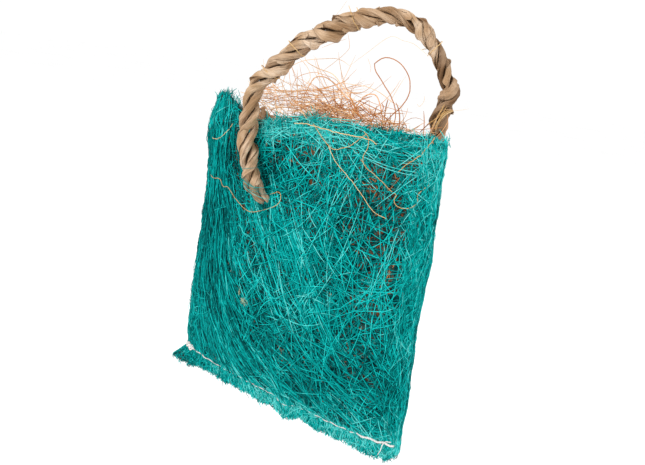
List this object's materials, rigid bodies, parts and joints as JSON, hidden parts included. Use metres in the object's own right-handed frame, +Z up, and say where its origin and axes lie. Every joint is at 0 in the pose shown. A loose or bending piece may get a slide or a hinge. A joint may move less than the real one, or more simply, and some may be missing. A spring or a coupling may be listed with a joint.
{
  "type": "small animal forage bag",
  "caption": "Pillow-shaped hanging forage bag of bonded sisal fibre, stitched at the bottom, stuffed with coconut fibre, on a twisted leaf-rope handle.",
  "frame": {"origin": "the underside of the handle where it hangs on a hook or bar", "axes": "+Z up, from the seam to the handle; +X to the right along the seam seen from the front; -Y is the front"},
  "size_m": [0.176, 0.0661, 0.2548],
  "materials": {
    "turquoise_sisal": "dyed bonded fibre mat, slightly glossy fibres",
    "coir": "dull coarse fibre",
    "leaf_rope": "dry twisted leaf, matt",
    "cotton_thread": "plied cotton",
    "sisal_straw": "undyed sisal strand"
  },
  "bodies": {
    "handle": {"handle_strand_1": "leaf_rope", "handle_strand_2": "leaf_rope", "handle_strand_3": "leaf_rope", "handle_wrap_strip": "leaf_rope", "handle_tie_fibres": "sisal_straw"},
    "bag": {"front_mat": "turquoise_sisal", "back_mat": "turquoise_sisal", "coir_filling": "coir", "coir_loops": "coir", "seam_needle_thread": "cotton_thread", "seam_bobbin_thread": "cotton_thread", "seam_start_knot": "cotton_thread", "loose_straw_strands": "sisal_straw", "front_rope_bend": "leaf_rope", "front_leg_strand_1": "leaf_rope", "front_leg_strand_2": "leaf_rope", "front_leg_strand_3": "leaf_rope", "back_rope_bend": "leaf_rope", "back_leg_strand_1": "leaf_rope", "back_leg_strand_2": "leaf_rope", "back_leg_strand_3": "leaf_rope"}
  },
  "joints": [
    {"name": "bag_swing", "type": "hinge", "parent": "handle", "child": "bag", "pos_m": [-0.069, -0.034, -0.059], "axis": [0.8989, 0.4357, 0.0459], "range_deg": [-20, 50]}
  ]
}
